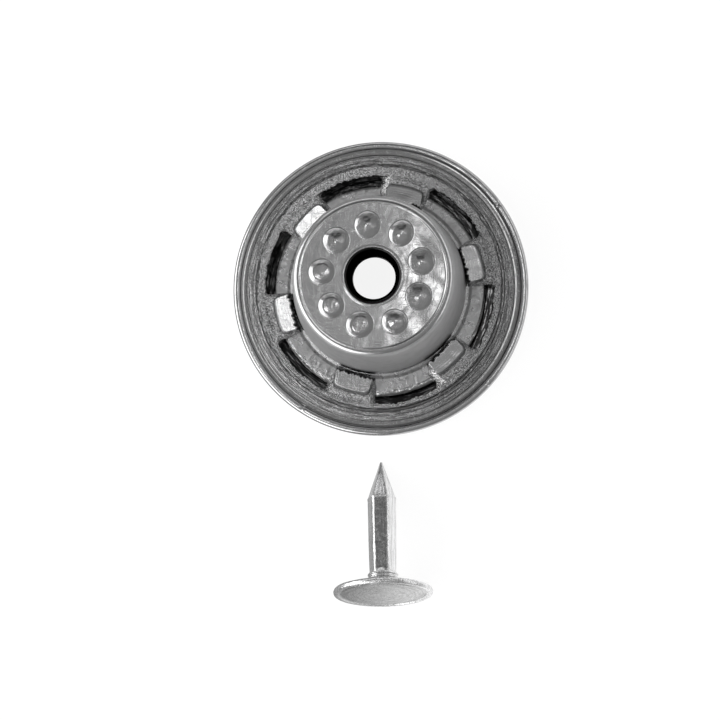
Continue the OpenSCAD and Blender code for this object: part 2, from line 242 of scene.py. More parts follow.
def cap_profile():
    """Outline of the cast ring's section, anticlockwise from the open centre: front, rim bead, hollow,
    rough step, claw ring, slot, seat and pocket."""
    bead_z = RIM_Z - BEAD
    meet_z = STEP_Z + 0.005
    bead_end = 180 - math.degrees(math.asin((meet_z - bead_z) / BEAD))
    dip = math.degrees(math.asin((HOLLOW_Z - meet_z) / HOLLOW_ROUND))
    hollow_in = HOLLOW_R - HOLLOW_ROUND * math.cos(math.radians(dip))
    soft = 0.04
    return np.concatenate([
        arc((OPENING_R + OPENING_ROUND, OPENING_ROUND), OPENING_ROUND, 180, 270, 9),
        line((OPENING_R + OPENING_ROUND, 0), (CAP_R - FRONT_ROUND, 0), 5),
        arc((CAP_R - FRONT_ROUND, FRONT_ROUND), FRONT_ROUND, 270, 360, 20),
        line((CAP_R, FRONT_ROUND), (CAP_R, bead_z), 2),
        arc((CAP_R - BEAD, bead_z), BEAD, 0, bead_end, 18),
        arc((HOLLOW_R, HOLLOW_Z), HOLLOW_ROUND, -dip, dip - 180, 14) * (1, HOLLOW_FLAT)
        + (0, meet_z * (1 - HOLLOW_FLAT)),
        line((hollow_in, STEP_Z), (RING_OUT + RING_FOOT, STEP_Z), 16),
        arc((RING_OUT + RING_FOOT, STEP_Z + RING_FOOT), RING_FOOT, 270, 180, 8),
        line((RING_OUT, STEP_Z + RING_FOOT), (RING_OUT, RING_Z - RING_EDGE), 2),
        arc((RING_OUT - RING_EDGE, RING_Z - RING_EDGE), RING_EDGE, 0, 90, 5),
        line((RING_OUT - RING_EDGE, RING_Z), (RING_IN + 0.12, RING_Z), 6),
        line((RING_IN + 0.12, RING_Z), (RING_IN + soft, RING_Z), 2),
        arc((RING_IN + soft, RING_Z - soft), soft, 90, 180, 3),
        line((RING_IN, RING_Z - soft), (RING_IN, SLOT_Z), 6),
        line((RING_IN, SLOT_Z), (SEAT_R, SLOT_Z), 3),
        line((SEAT_R, SLOT_Z), (SEAT_R, SEAT_Z), 2),
        line((SEAT_R, SEAT_Z), (POCKET_R, SEAT_Z), 3),
        line((POCKET_R, SEAT_Z), (POCKET_R, FRONT_WALL), 3),
        line((POCKET_R, FRONT_WALL), (OPENING_R, FRONT_WALL), 4),
        line((OPENING_R, FRONT_WALL), (OPENING_R, OPENING_ROUND), 2),
    ])


def make_cap():
    """Cast ring: the section turned round the axis. Between the hollow and the slot the casting is uneven,
    so its radius and height wander by a few hundredths along the circle, and the slot's outer wall is cast
    off centre. The mask "gap" marks the slot's floor and walls, where the finish paints shade nearly black."""
    r, z, a = turned_grid(cap_profile(), CAP_TURNS)
    back = z > STEP_Z - 0.2
    uneven = back * ease((r - RING_IN + 0.1) / 0.1) * ease((9.0 - r) / 0.1)
    ragged = 0.02 * round_wave(a, 3, 5, 40) + 0.014 * round_wave(a, 6, 40, 150)
    r = r + uneven * ragged * ease((8.6 - r) / 0.2)
    z = z + uneven * (0.010 * round_wave(a, 4, 9, 60) + 0.007 * np.sin(37 * r + 5 * round_wave(a, 5, 3, 30)))
    slot_edge = ease((8.1 - r) / 0.55) * (r > RING_IN - 0.1)
    torn = 0.03 * round_wave(a, 7, 60, 200) + 0.03 * round_wave(a, 8, 12, 60)
    drift = RING_GROW - RING_DRIFT * np.sin(a)
    r = r + slot_edge * (ragged * (z < STEP_Z) + (torn - 0.04) * (z > 2.9) + drift)
    rim = back * ease((r - 9.4) / 0.1)
    nick = np.zeros_like(a)
    for at, width, depth in RIM_NICKS:
        off = (np.degrees(a) - at + 180) % 360 - 180
        nick += depth * np.exp(-(off / width) ** 2)
    z = z - rim * nick
    deep = ease((r - SEAT_R + 0.1) / 0.05) * ease((8.1 - r) / 0.02) * ease((RING_Z - 0.06 - z) / 0.08)
    faces = [turned_faces(len(r), CAP_TURNS, True)]
    masks = {"gap": deep.ravel()}
    return piece("cap_ring", turned_points(r, z, a), faces, "cap", masks=masks)


def claw_heights(x, y, seed, lean_out, twist, falls):
    """Height of a claw's top at radial x and sideways y, and three masks: where it is pressed, where shade
    is painted, and where a highlight is painted. A plate carries the pad, which has a slope along its outer
    edge and short steep sides. The pad leans outwards by lean_out and sideways by twist, carries faint lines
    along its outer edge, and its inner end is torn. Shade is painted along the step outside the pad's edge
    and over the torn tip. The plate's flanks are crumpled and fall away, each at its own slope; the steepest
    of them are rubbed, and a painted highlight makes them near white."""
    around = np.hypot(x, y)
    plate = CLAW_Z + PLATE + 0.02 * ease((RING_IN - x) / 0.6)
    plate = plate + (RING_Z - 0.03 - plate) * ease((x - RING_IN + 0.1) / 0.35)
    out = PAD_OUT - around
    side = PAD_HALF - np.abs(y)
    qx, qy = np.maximum(PAD_CORNER - out, 0), np.maximum(PAD_CORNER - side, 0)
    edge = np.where((qx > 0) & (qy > 0), PAD_CORNER - np.hypot(qx, qy), np.minimum(out, side))
    slope = np.where(side < out, 0.12, PAD_SLOPE)
    lift = ease((edge + slope) / slope)
    lean = RISE - lean_out * (x - TIP_R) / (PAD_OUT - TIP_R) - twist * y
    lean = lean + 0.005 * ripple(x, y, seed + 6, 0.6)
    lines = 0.0012 * np.sin(out * 38 + 0.5 * ripple(x, y, seed + 7, 0.8)) * ease((0.75 - out) / 0.3)
    reach = 0.10 + 0.06 * ripple(y, x * 0, seed + 1, 0.2) + 0.04 * ripple(y, x * 0, seed + 8, 0.07)
    torn = ease((x - TIP_R - reach) / 0.1)
    pits = np.minimum(0, ripple(x, y, seed + 2, 0.12) + 0.1) * 0.07 * (1 - torn)
    pad = THICK - PLATE + lean + lines - 0.12 * (1 - torn) + pits
    flank = ease((x - 6.2) / 0.3) * ease((RING_OUT - 0.45 - x) / 0.2) * ease((np.abs(y) - PAD_HALF) / 0.12)
    fall = np.where(y > 0, falls[1], falls[0])
    plate = plate - fall * np.clip(np.abs(y) - PAD_HALF - 0.12, 0, 0.4) * ease((x - 6.0) / 0.3)
    plate = plate + (0.012 + 0.02 * fall) * flank * (ripple(x, y, seed + 9, 0.16) - 0.6)
    step = ease((edge + slope + 0.08) / 0.08) * ease((0.01 - edge) / 0.04) * ease((x - 6.2) / 0.2)
    # Painted shade: dark on the step just outside the pad's edge, and over the torn tip
    claw_shade = np.maximum(0.6 * step, 1 - torn)
    # Painted highlight on the steepest falling flanks, which are rubbed: the finish makes them near white
    painted_gleam = flank * np.clip(2.2 * fall - 0.6, 0, 1) * ease((ripple(x, y, seed + 5, 0.12) + 0.9) / 0.5)
    return plate + lift * pad, lift * torn, claw_shade, painted_gleam


def make_claw(index):
    """One folded claw. Its grid runs from the torn tip out into the claw ring and from flank to flank, and
    is finest where the pad's outer edge lies. Beyond each edge three more lines go down to the flange. The
    hidden underside is closed by triangles from the grid's rim to one point."""
    at = math.radians(CLAW_START + index * 360 / CLAWS)
    seed = 100 + 10 * index
    steps = np.concatenate([
        np.linspace(TIP_R, 6.4, 26)[:-1], np.linspace(6.4, 6.92, 14)[:-1], np.linspace(6.92, 7.22, 18)[:-1],
        np.linspace(7.22, 7.84, 18),
    ])
    across = np.concatenate([
        np.linspace(-1, -0.66, 24)[:-1], np.linspace(-0.66, 0.66, 48)[:-1], np.linspace(0.66, 1, 24),
    ])
    s, t = np.meshgrid(steps, across, indexing="ij")
    half = PAD_HALF + MARGIN + (ROOT_HALF - PAD_HALF - MARGIN) * ((s - TIP_R) / (RING_OUT - TIP_R))
    half = half + 0.22 * ease((s - 7.15) / 0.4) ** 2
    half = half + 0.24 * np.where(t > 0, CLAW_FALLS[index][1], CLAW_FALLS[index][0]) * ease((s - 6.0) / 0.4)
    y = t * (half + 0.03 * ripple(s, np.sign(t), seed + 3, 0.5))
    ragged = 0.05 + 0.04 * ripple(y, y * 0, seed + 1, 0.2) + 0.03 * ripple(y, y * 0, seed + 4, 0.07)
    x = s + np.clip(ragged, 0.01, 0.3) * ease((6.4 - s) / 0.5)
    z, pressed, claw_shade, painted_gleam = claw_heights(
        x, y, seed, CLAW_LEANS[index], CLAW_TWISTS[index], CLAW_FALLS[index])
    z = z - 0.15 * np.clip((np.abs(t) - 0.86) / 0.14, 0, 1) ** 1.4
    drop = np.array([0.03, 0.12, 1.0])
    floor = np.where(s < SEAT_R, CLAW_Z - 0.03, SLOT_Z + 0.05)

    def skirt(edge, foot, dx, dy):
        """Three lines let down from an edge of the grid to its foot, pushed out a little as they fall."""
        px, py, pz = edge
        rows = [[px + dx * d * 0.05, py + dy * d * 0.05, pz + (foot - pz) * d] for d in drop]
        return np.stack(rows, axis=1)

    grid = np.stack([x, y, z])
    left = skirt(grid[:, :, 0], floor[:, 0], 0, -1).transpose(0, 2, 1)[:, :, ::-1]
    right = skirt(grid[:, :, -1], floor[:, -1], 0, 1).transpose(0, 2, 1)
    grid = np.concatenate([left, grid, right], axis=2)
    tip = skirt(grid[:, 0], np.minimum(grid[2, 0], CLAW_Z - 0.03), -1, 0)[:, ::-1]
    end = skirt(grid[:, -1], np.minimum(grid[2, -1], SLOT_Z + 0.05), 1, 0)
    x, y, z = np.concatenate([tip, grid, end], axis=1)
    pressed = np.pad(pressed, 3)
    claw_shade = np.pad(claw_shade, 3)
    painted_gleam = np.pad(painted_gleam, 3)
    # Painted shade: the lines let down below the torn tip are fully dark
    claw_shade[:3] = 1.0
    rows, cols = x.shape
    cos_at, sin_at = math.cos(at), math.sin(at)
    own = np.stack([x * cos_at - y * sin_at, x * sin_at + y * cos_at, z], axis=-1).reshape(-1, 3)
    i, j = np.meshgrid(np.arange(rows - 1), np.arange(cols - 1), indexing="ij")
    corner = i * cols + j
    quads = np.stack([corner, corner + cols, corner + cols + 1, corner + 1], axis=-1).reshape(-1, 4)
    rim = np.concatenate([
        np.arange(cols), np.arange(1, rows) * cols + cols - 1,
        (rows - 1) * cols + np.arange(cols - 2, -1, -1), np.arange(rows - 2, 0, -1) * cols,
    ])
    under = np.array([[UNDER_R * cos_at, UNDER_R * sin_at, CLAW_Z - 0.03]])
    own = np.concatenate([own, under])
    own[:, 1] -= CLAW_DRIFT
    fan = np.stack([rim, np.roll(rim, -1), np.full(len(rim), len(own) - 1)], axis=-1)
    masks = {name: np.append(mask, 0.0) for name, mask in (
        ("pressed", pressed), ("claw_shade", claw_shade), ("painted_gleam", painted_gleam), ("rubbed", pressed * CLAW_RUBBED[index]))}
    return piece(f"claw_{index + 1}", own, [quads, fan], masks=masks, crease=50.0)


# Shank

def wall_at(z):
    """Radius of the side wall at height z: a straight draft from the foot."""
    return FOOT_R - (z - FLANGE_Z) * math.tan(DRAFT)


def shank_profile():
    """Outline of the pressed sheet's section. It is listed from the collar's end up the bore, down the
    outside and back up the inside, and returned the other way round, which is anticlockwise."""
    tilt = math.degrees(DRAFT)
    top = SHANK_Z
    shoulder_z = top - SHOULDER
    shoulder_r = wall_at(shoulder_z) - SHOULDER / math.cos(DRAFT)
    foot_z = FLANGE_Z + FOOT
    foot_r = wall_at(foot_z) + FOOT / math.cos(DRAFT)
    edge = SHEET / 2
    inner_z = top - SHEET
    side = SHEET / math.cos(DRAFT)
    inside = [
        line((FLANGE_R - edge, FLANGE_Z - SHEET), (foot_r, FLANGE_Z - SHEET), 3),
        arc((foot_r, foot_z), FOOT + SHEET, 270, 180 + tilt, 7),
        line((wall_at(foot_z) - side, foot_z), (wall_at(inner_z) - side, inner_z), 7),
        line((wall_at(inner_z) - side, inner_z), (MOUTH_R + SHEET, inner_z), 34),
        line((MOUTH_R + SHEET, inner_z), (HOLE_R + COLLAR_WALL, COLLAR_Z + LAND), 3),
        line((HOLE_R + COLLAR_WALL, COLLAR_Z + LAND), (HOLE_R + COLLAR_WALL, COLLAR_Z), 3),
        line((HOLE_R + COLLAR_WALL, COLLAR_Z), (HOLE_R, COLLAR_Z), 2),
    ]
    outside = [
        line((HOLE_R, COLLAR_Z), (HOLE_R, COLLAR_Z + LAND), 3),
        line((HOLE_R, COLLAR_Z + LAND), (MOUTH_R, top - MOUTH), 4),
        arc((MOUTH_R + MOUTH, top - MOUTH), MOUTH, 180, 90, 8),
        line((MOUTH_R + MOUTH, top), (shoulder_r, top), 66),
        arc((shoulder_r, shoulder_z), SHOULDER, 90, tilt, 16),
        line((shoulder_r + SHOULDER * math.cos(DRAFT), shoulder_z + SHOULDER * math.sin(DRAFT)),
             (foot_r - FOOT * math.cos(DRAFT), foot_z - FOOT * math.sin(DRAFT)), 20),
        arc((foot_r, foot_z), FOOT, 180 + tilt, 270, 7),
        line((foot_r, FLANGE_Z), (FLANGE_R - edge, FLANGE_Z), 16),
        arc((FLANGE_R - edge, FLANGE_Z - edge), edge, 90, -90, 9),
    ]
    return np.concatenate(outside + inside)[::-1]


def bump_height(x, y):
    """Raised bumps of the flat back: each a ball's cap, one less the square of its distance, a little
    stretched and leaning to one side, with a bell curve at its middle, up or down, and a bell curve round
    it."""
    rng = np.random.default_rng(21)
    total = np.zeros_like(x)
    for k in range(BUMPS):
        at = math.radians(BUMP_START + k * 360 / BUMPS)
        spread = 1.05 + rng.uniform(-0.03, 0.05)
        stretch = 1 + rng.uniform(-0.03, 0.06)
        lean = rng.uniform(0, 2 * math.pi)
        dx = x - BUMP_CIRCLE * math.cos(at) - rng.uniform(-0.03, 0.03)
        dy = y - BUMP_CIRCLE * math.sin(at) - rng.uniform(-0.03, 0.03)
        u = dx * math.cos(lean) + dy * math.sin(lean)
        v = -dx * math.sin(lean) + dy * math.cos(lean)
        d = np.hypot(u / stretch, v * stretch) / (BUMP_R * spread)
        middle = BUMP_MIDDLES[k] * np.exp(-(d / rng.uniform(0.34, 0.46)) ** 2)
        ring = BUMP_RINGS[k] * np.exp(-((d - 0.62) / 0.14) ** 2)
        cap = (1 - d ** 2) * (0.8 + rng.uniform(0.0, 0.05) * u / BUMP_R) * BUMP_H + middle + ring
        rough = 0.003 * ripple(x, y, 60 + k, 0.22) * ease((1 - d) / 0.3)
        total = np.maximum(total, (cap + rough) * ease((1 - d) / 0.06))
    return total


def back_waves(x, y, r, a):
    """Unevenness of the flat back: long shallow waves, stronger to the right of the hole, where the metal
    also carries fine rings round the mouth and slopes down from it; and low creases between the bumps."""
    right = np.maximum(0, np.cos(a + 0.1)) ** 1.5
    rings = ease((r - 1.85) / 0.1) * ease((2.75 - r) / 0.3)
    creases = np.exp(-((r - BUMP_CIRCLE) / 0.35) ** 2)
    beyond = 0.25 + 0.55 * ease((r - 2.6) / 0.6)
    waves = (0.004 + 0.018 * right * beyond) * ripple(x, y, 11, 1.2) + 0.001 * ripple(x, y, 12, 0.45)
    waves = waves + right * rings * 0.0018 * np.sin((r - 1.9) * 18 + 1.2 * ripple(x, y, 17, 1.0))
    waves = waves - 0.06 * right * (np.clip(r, 1.9, 2.9) - 1.9) + 0.004 * creases * ripple(x, y, 18, 0.5)
    return waves - 0.02


def rubbed_arcs(x, y):
    """Small crescent ridges rubbed into the flange: each is a bell curve across a circle of about a quarter
    of a millimetre, kept on one side of it."""
    rng = np.random.default_rng(41)
    total = np.zeros_like(x)
    for at in CRESCENTS:
        turn = math.radians(at)
        size = rng.uniform(0.16, 0.3)
        dx, dy = x - CRESCENT_R * math.cos(turn), y - CRESCENT_R * math.sin(turn)
        ridge = np.exp(-((np.hypot(dx, dy) - size) / 0.05) ** 2)
        along = dx * math.cos(turn + 0.8) + dy * math.sin(turn + 0.8)
        total += CRESCENT_H * ridge * ease(along / 0.1 + 0.5)
    return total


def make_shank():
    """Pressed cup: the section turned round the axis. The flat back carries the bumps and shallow ripples,
    the side wall is very slightly uneven, and the flange is dented and lies a little off centre. The mask
    "edge" marks the flange's rounded edge, where the finish paints shade."""
    r, z, a = turned_grid(shank_profile(), SHANK_TURNS)
    x, y = r * np.cos(a), r * np.sin(a)
    top = (z > SHANK_Z - 0.01)
    flat = top * ease((r - MOUTH_R - MOUTH) / 0.15) * ease((4.75 - r) / 0.15)
    bump = bump_height(x, y)
    wave = back_waves(x, y, r, a)
    under = (np.abs(z - SHANK_Z + SHEET) < 0.01) * ease((r - 2.2) / 0.2)
    z = z + flat * (bump + wave) + under * bump * 0.9
    wall = ease((z - 3.4) / 0.5) * ease((8.25 - z) / 0.3) * (r > 4.6)
    r = r + wall * (0.012 * round_wave(a, 13, 2, 9) * np.cos(z * 0.9) + 0.004 * round_wave(a, 14, 8, 30))
    flange = (np.abs(z - FLANGE_Z) < 0.02) * (r > 6.0)
    dents = 0.016 * ripple(x, y, 15, 0.3) + 0.010 * ripple(x, y, 16, 0.8)
    z = z + flange * (dents + rubbed_arcs(x, y) - 0.02)
    faces = turned_faces(len(r), SHANK_TURNS, True)
    place = turned_points(r, z, a)
    outer = ease((r.ravel() - 6.0) / 0.6)
    edge = ease((r.ravel() - FLANGE_R + 0.27) / 0.08)
    place[:, 1] -= FLANGE_DRIFT * outer
    place[:, :2] *= 1 + FLANGE_GROW / FLANGE_R * outer[:, None]
    return piece("shank_cup", place, [faces], "shank", masks={"edge": edge})


# Tack

def tack_profile():
    """Outline of the tack from the middle of its outer face round the lip, up the boss and the pin to the
    point: radius and distance along the axis."""
    shoulder = LENGTH - POINT
    top = WEB / 2 + BOSS_H
    flats_from = top + RIDGES * RIDGE_PITCH
    meet = math.degrees(math.asin(WEB / 2 / LIP))
    lip_in = LIP_AT - LIP * math.cos(math.radians(meet))
    dome = np.linspace(0.02, lip_in, 41)[:-1]
    turned = 0.006 * np.sin(dome * 21) * ease((dome - 0.6) / 0.3)
    turned = turned + 0.05 * np.exp(-((dome - lip_in + 0.14) / 0.1) ** 2)
    half = math.atan2(PIN_R - BLUNT, POINT - BLUNT)
    ball = LENGTH - BLUNT
    ridge = np.linspace(top, flats_from, 31)[:-1]
    wave = np.maximum(0, np.sin((ridge - top) / RIDGE_PITCH * 2 * math.pi - 0.5 * math.pi) * 0.7 + 0.3)
    return np.concatenate([
        np.stack([dome, turned - WEB / 2 - HEAD_RISE * (1 - (dome / lip_in) ** 2)], axis=1),
        arc((LIP_AT, 0), LIP, 180 + meet, 540 - meet, 24),
        line((lip_in, WEB / 2), (BOSS_R + 0.12, WEB / 2), 20),
        line((BOSS_R + 0.12, WEB / 2), (BOSS_R - 0.06, WEB / 2 + 0.08), 3),
        line((BOSS_R - 0.06, WEB / 2 + 0.08), (PIN_R + 0.02, top), 8),
        np.stack([PIN_R + RIDGE_H * wave, ridge], axis=1),
        line((PIN_R, flats_from), (PIN_R, shoulder), 60),
        line((PIN_R, shoulder), (BLUNT * math.cos(half), ball + BLUNT * math.sin(half)), 44),
        arc((0, ball), BLUNT, math.degrees(half), 88, 5),
    ])


def tack_in_row(own):
    """Own coordinates, with the axis along Z from the lip's middle to the point, laid down: tipped until
    lip and point both touch the floor, turned a little, and put beside the button."""
    ball = LENGTH - BLUNT
    tip = math.acos((BLUNT - LIP) / math.hypot(LIP_AT, ball)) - math.atan2(ball, LIP_AT)
    lip_z = LIP_AT * math.cos(tip) + LIP
    lip_y = -CAP_R - TACK_GAP - (ball * math.cos(tip) + BLUNT) * math.cos(TACK_TURN)
    c, s = math.cos(-math.pi / 2 - tip), math.sin(-math.pi / 2 - tip)
    x, y, z = own[:, 0], own[:, 1] * c - own[:, 2] * s, own[:, 1] * s + own[:, 2] * c
    ct, st = math.cos(TACK_TURN), math.sin(TACK_TURN)
    laid = np.stack([x * ct - y * st, x * st + y * ct, z], axis=1)
    return laid + np.array([TACK_SIDE, lip_y + BUTTON[1], lip_z])


def make_tack():
    """Tack: its outline turned round its own axis. Along pin and point the radius is the round outline cut
    by the flats, with their corners eased and a slight swelling where the point begins; the boss has
    pinched creases, the web faint turned rings."""
    r, z, a = turned_grid(tack_profile(), TACK_TURNS)
    flats_from = WEB / 2 + BOSS_H + RIDGES * RIDGE_PITCH
    shoulder = LENGTH - POINT
    along = (z - flats_from) / (shoulder - flats_from)
    on_pin = (z > flats_from - 0.01)
    belly = 1 - on_pin * (0.09 * (1 - np.clip(along, 0, 1)) ** 2 - 0.006 * np.sin(5 * along + 1))
    turn = (a + 0.04) % (2 * math.pi / FLATS) - math.pi / FLATS
    flat = (PIN_R - FLAT_DEPTH) / np.cos(turn) * belly
    flat = flat + 0.006 * round_wave(a, 31, 2, 9) + 0.004 * np.sin(3 * z + 3 * a)
    round_r = r * belly
    gap = flat - PIN_R * belly
    cut = (np.minimum(gap, 0) - 0.006 * np.exp(-(gap / 0.02) ** 2)) / (PIN_R * belly)
    fade = ease((z - flats_from + 0.02) / 0.25) * (1 - 0.6 * ease((z - shoulder) / POINT))
    collar = 0.026 * np.exp(-((z - shoulder) / 0.06) ** 2)
    r = np.where(on_pin, round_r * (1 + cut * fade) + collar, r)
    boss = ease((z - WEB / 2 - 0.02) / 0.06) * ease((WEB / 2 + BOSS_H - z) / 0.1) * (r > PIN_R)
    r = r + boss * (0.035 * round_wave(a, 32, 5, 11) - 0.03 * np.abs(np.sin(4 * a + 0.6)) ** 6)
    web = (np.abs(z - WEB / 2) < 0.005) * ease((r - 1.6) / 0.15) * ease((2.9 - r) / 0.1)
    z = z + web * (0.008 * np.sin(r * 19) + 0.006 * ripple(r * np.cos(a), r * np.sin(a), 33, 0.9))
    own = turned_points(r, z, a)
    rows = len(r)
    own = np.concatenate([own, [[0, 0, -WEB / 2 - HEAD_RISE]], [[0, 0, LENGTH]]])
    ring = np.arange(TACK_TURNS)
    after = (ring + 1) % TACK_TURNS
    head_middle = rows * TACK_TURNS
    head = np.stack([np.full(TACK_TURNS, head_middle), after, ring], axis=1)
    tip_row = (rows - 1) * TACK_TURNS
    point = np.stack([np.full(TACK_TURNS, head_middle + 1), tip_row + ring, tip_row + after], axis=1)
    faces = [turned_faces(rows, TACK_TURNS, False), head, point]
    return piece("tack_body", own, faces, "tack", to_row=tack_in_row)


# Finishes

def put(tree, kind, values=None, **settings):
    """New node of that kind, with its settings, and its inputs linked or set."""
    node = tree.nodes.new(kind)
    for key, value in settings.items():
        setattr(node, key, value)
    for key, value in (values or {}).items():
        if isinstance(value, bpy.types.NodeSocket):
            tree.links.new(value, node.inputs[key])
        else:
            node.inputs[key].default_value = value
    return node


def calc(tree, operation, a, b=0.0, clamp=False):
    return put(tree, "ShaderNodeMath", {0: a, 1: b}, operation=operation, use_clamp=clamp).outputs[0]


def spread(tree, value, from_low, from_high, to_low=0.0, to_high=1.0, how="SMOOTHSTEP"):
    values = {"Value": value, "From Min": from_low, "From Max": from_high}
    values.update({"To Min": to_low, "To Max": to_high})
    return put(tree, "ShaderNodeMapRange", values, interpolation_type=how).outputs["Result"]


def product(tree, *factors):
    """All factors multiplied, one after the other."""
    result = factors[0]
    for factor in factors[1:]:
        result = calc(tree, "MULTIPLY", result, factor)
    return result


def add_up(tree, *terms):
    """All terms added, one after the other."""
    result = terms[0]
    for term in terms[1:]:
        result = calc(tree, "ADD", result, term)
    return result


def flat_part(tree, vector):
    """The vector with its height set to 0, and the length that it then has."""
    flat = put(tree, "ShaderNodeVectorMath", {0: vector, 1: (1, 1, 0)}, operation="MULTIPLY").outputs[0]
    return flat, put(tree, "ShaderNodeVectorMath", {0: flat}, operation="LENGTH").outputs["Value"]


def stretched(tree, vector, scale, turn=0.0):
    values = {"Vector": vector, "Rotation": (0, 0, turn), "Scale": scale}
    return put(tree, "ShaderNodeMapping", values).outputs[0]


def height_of(tree, vector):
    return put(tree, "ShaderNodeSeparateXYZ", {0: vector}).outputs["Z"]


def mask_of(tree, name):
    """Value of a mask that the mesh carries, and 0 where it has none of that name."""
    return put(tree, "ShaderNodeAttribute", None, attribute_name=name).outputs["Fac"]


def noise(tree, vector, scale, detail=2.0, rough=0.5):
    values = {"Vector": vector, "Scale": scale, "Detail": detail, "Roughness": rough}
    return put(tree, "ShaderNodeTexNoise", values).outputs["Fac"]


def new_group(name, inputs, outputs):
    """Shader node group with named sockets: (name, kind, default) going in, (name, kind) coming out."""
    group = bpy.data.node_groups.new(name, "ShaderNodeTree")
    for label, kind, default in inputs:
        socket = group.interface.new_socket(label, in_out="INPUT", socket_type=kind)
        if default is not None:
            socket.default_value = default
    for label, kind in outputs:
        group.interface.new_socket(label, in_out="OUTPUT", socket_type=kind)
    return group, group.nodes.new("NodeGroupInput").outputs, group.nodes.new("NodeGroupOutput").inputs


def radius_band_group():
    """Mask that is 1 between two radii from the button's axis, with soft edges."""
    group, given, out = new_group("radius_band", [
        ("Vector", "NodeSocketVector", None), ("Inner", "NodeSocketFloat", 7.0),
        ("Outer", "NodeSocketFloat", 8.0), ("Soft", "NodeSocketFloat", 0.05)], [("Mask", "NodeSocketFloat")])
    radius = flat_part(group, given["Vector"])[1]
    start = calc(group, "SUBTRACT", given["Inner"], given["Soft"])
    end = calc(group, "ADD", given["Outer"], given["Soft"])
    rise = spread(group, radius, start, given["Inner"])
    fall = spread(group, radius, given["Outer"], end, 1.0, 0.0)
    group.links.new(product(group, rise, fall), out["Mask"])
    return group


def ring_lines_group():
    """Uneven lines that run round the axis: noise that is long round the circle and short across it."""
    group, given, out = new_group("ring_lines", [
        ("Vector", "NodeSocketVector", None), ("Round", "NodeSocketFloat", 3.0),
        ("Across", "NodeSocketFloat", 8.0)], [("Height", "NodeSocketFloat")])
    flat, radius = flat_part(group, given["Vector"])
    unit = put(group, "ShaderNodeVectorMath", {0: flat}, operation="NORMALIZE").outputs[0]
    values = {0: unit, "Scale": given["Round"]}
    wide = put(group, "ShaderNodeVectorMath", values, operation="SCALE").outputs[0]
    parts = put(group, "ShaderNodeSeparateXYZ", {0: wide}).outputs
    height = height_of(group, given["Vector"])
    both = product(group, calc(group, "ADD", radius, height), given["Across"])
    vector = put(group, "ShaderNodeCombineXYZ", {0: parts["X"], 1: parts["Y"], 2: both}).outputs[0]
    group.links.new(noise(group, vector, 1.0, 2.5, 0.6), out["Height"])
    return group


def casting_grain_group():
    """Pebbled skin of a casting: fine noise and small round pits. Height is in millimetres, as Depth is."""
    group, given, out = new_group("casting_grain", [
        ("Vector", "NodeSocketVector", None), ("Size", "NodeSocketFloat", 0.12),
        ("Depth", "NodeSocketFloat", 0.02)], [("Height", "NodeSocketFloat"), ("Dirt", "NodeSocketFloat")])
    scale = calc(group, "DIVIDE", 1.0, given["Size"])
    fine = noise(group, given["Vector"], scale, 3.0, 0.6)
    cells = {"Vector": given["Vector"], "Scale": scale}
    pits = put(group, "ShaderNodeTexVoronoi", cells).outputs["Distance"]
    pebbles = spread(group, pits, 0.0, 0.55, 1.0, 0.0)
    mixed = add_up(group, product(group, fine, 1.2), product(group, pebbles, 0.6))
    group.links.new(product(group, mixed, given["Depth"]), out["Height"])
    group.links.new(spread(group, fine, 0.35, 0.62, 1.0, 0.0), out["Dirt"])
    return group


def scratches_group():
    """Hair-fine scratches in two crossed directions, and the mask of where the surface is duller."""
    group, given, out = new_group("fine_scratches", [
        ("Vector", "NodeSocketVector", None), ("Scale", "NodeSocketFloat", 1.0),
        ("Depth", "NodeSocketFloat", 0.002)], [("Height", "NodeSocketFloat"), ("Dull", "NodeSocketFloat")])
    hairs = []
    for turn, stretch in ((0.5, (0.5, 14.0, 3.0)), (2.1, (11.0, 0.6, 3.0))):
        fine = noise(group, stretched(group, given["Vector"], stretch, turn), given["Scale"])
        hairs.append(spread(group, fine, 0.6, 0.72))
    cloud = noise(group, given["Vector"], 1.3, 3.0)
    group.links.new(product(group, add_up(group, *hairs), given["Depth"]), out["Height"])
    group.links.new(spread(group, cloud, 0.4, 0.7), out["Dull"])
    return group


def use(tree, group, values, output):
    node = put(tree, "ShaderNodeGroup", None, node_tree=group)
    for key, value in values.items():
        if isinstance(value, bpy.types.NodeSocket):
            tree.links.new(value, node.inputs[key])
        else:
            node.inputs[key].default_value = value
    return node.outputs[output] if isinstance(output, str) else [node.outputs[o] for o in output]


def metal(name):
    """New, fully metallic material; returns the material, its tree, its shader and the place vector."""
    material = bpy.data.materials.new(name)
    material.use_nodes = True
    tree = material.node_tree
    shader = tree.nodes["Principled BSDF"]
    shader.inputs["Metallic"].default_value = 1.0
    place = put(tree, "ShaderNodeAttribute", None, attribute_name="place").outputs["Vector"]
    return material, tree, shader, place


def relief(tree, shader, height):
    """Bump whose height is in millimetres."""
    bump = put(tree, "ShaderNodeBump", {"Height": height, "Distance": MM, "Strength": 1.0}).outputs["Normal"]
    tree.links.new(bump, shader.inputs["Normal"])


def grey(level):
    return (level, level, level)


def grey_mix(tree, mask, first, second):
    """Colour that goes from first to second, each a colour or a socket, as the mask goes from 0 to 1."""
    node = tree.nodes.new("ShaderNodeMix")
    node.data_type = "RGBA"
    tree.links.new(mask, node.inputs[0])
    for slot, colour in ((6, first), (7, second)):
        if isinstance(colour, bpy.types.NodeSocket):
            tree.links.new(colour, node.inputs[slot])
        else:
            node.inputs[slot].default_value = (*colour, 1)
    return node.outputs[2]


def painted(tree, colour, coats):
    """Colour under coats of grey, laid on one after the other: each is a mask, the share it covers, and a
    level."""
    for mask, share, level in coats:
        colour = grey_mix(tree, product(tree, mask, share), colour, grey(level))
    return colour


